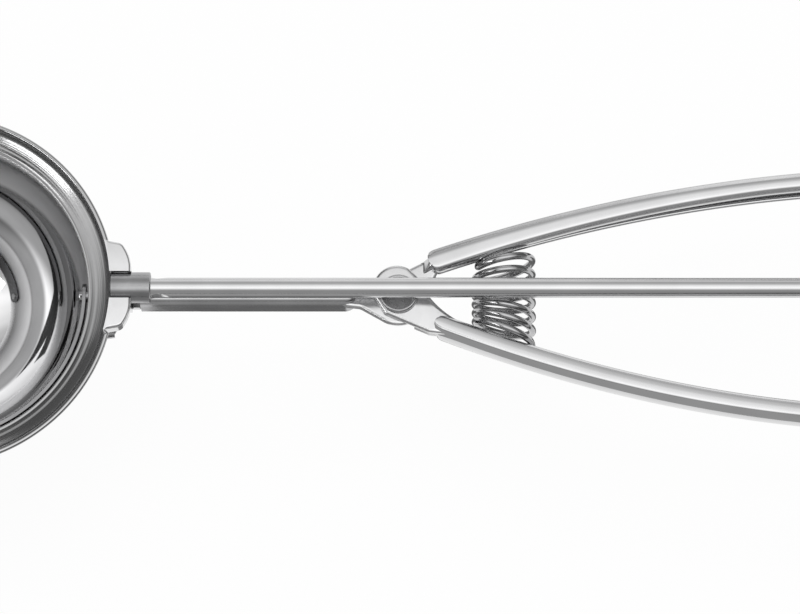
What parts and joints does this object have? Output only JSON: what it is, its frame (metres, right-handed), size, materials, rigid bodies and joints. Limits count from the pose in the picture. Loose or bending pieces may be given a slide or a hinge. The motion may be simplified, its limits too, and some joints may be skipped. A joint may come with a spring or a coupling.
{
  "type": "portion scoop",
  "caption": "Squeeze-handle portion scoop: a round steel bowl on a rod, two sprung grips that turn a curved wiper through a rack and pinion.",
  "frame": {"origin": "middle of the overall box on the plane that the bowl's lowest point touches", "axes": "+X runs along the rod from the bowl to the handle ends, +Y towards the moving grip, +Z out of the bowl's mouth"},
  "size_m": [0.238, 0.073, 0.0419],
  "materials": {
    "bowl": "polished stainless steel",
    "bracket": "polished stainless steel",
    "ferrule": "satin stainless steel",
    "rod": "polished stainless steel",
    "lower_handle": "polished stainless steel",
    "pivot_rivet": "polished stainless steel",
    "pivot_washer": "satin stainless steel",
    "shaft_bush": "satin stainless steel",
    "far_bush": "satin stainless steel",
    "spring": "bright drawn stainless spring wire",
    "upper_handle": "polished stainless steel",
    "rack": "satin stainless steel",
    "rack_rivet_high": "polished stainless steel",
    "rack_rivet_low": "polished stainless steel",
    "wiper_blade": "polished stainless steel",
    "wiper_shaft": "polished stainless steel",
    "pinion": "cut stainless steel",
    "shaft_washer": "satin stainless steel",
    "far_pin": "polished stainless steel",
    "far_washer": "satin stainless steel"
  },
  "bodies": {
    "scoop": {"bowl": "bowl", "bracket": "bracket", "ferrule": "ferrule", "rod": "rod", "lower_handle": "lower_handle", "pivot_rivet": "pivot_rivet", "pivot_washer": "pivot_washer", "shaft_bush": "shaft_bush", "far_bush": "far_bush", "spring": "spring"},
    "grip": {"upper_handle": "upper_handle", "rack": "rack", "rack_rivet_high": "rack_rivet_high", "rack_rivet_low": "rack_rivet_low"},
    "wiper": {"wiper_blade": "wiper_blade", "wiper_shaft": "wiper_shaft", "pinion": "pinion", "shaft_washer": "shaft_washer", "far_pin": "far_pin", "far_washer": "far_washer"}
  },
  "joints": [
    {"name": "grip_squeeze", "type": "hinge", "parent": "scoop", "child": "grip", "pos_m": [0.0108, -0.0005, 0.0388], "axis": [0, 0, -1], "range_deg": [0, 6.31], "stiffness_Nm_per_rad": 1.2, "springref_deg": -8.59, "deforming": ["spring"]},
    {"name": "wiper_turn", "type": "hinge", "parent": "scoop", "child": "wiper", "pos_m": [-0.0825, 0, 0.0318], "axis": [1, 0, 0], "range_deg": [0, 165.5]}
  ],
  "couplings": [
    {"joint": "wiper_turn", "follows": "grip_squeeze", "ratio": 26.133}
  ]
}
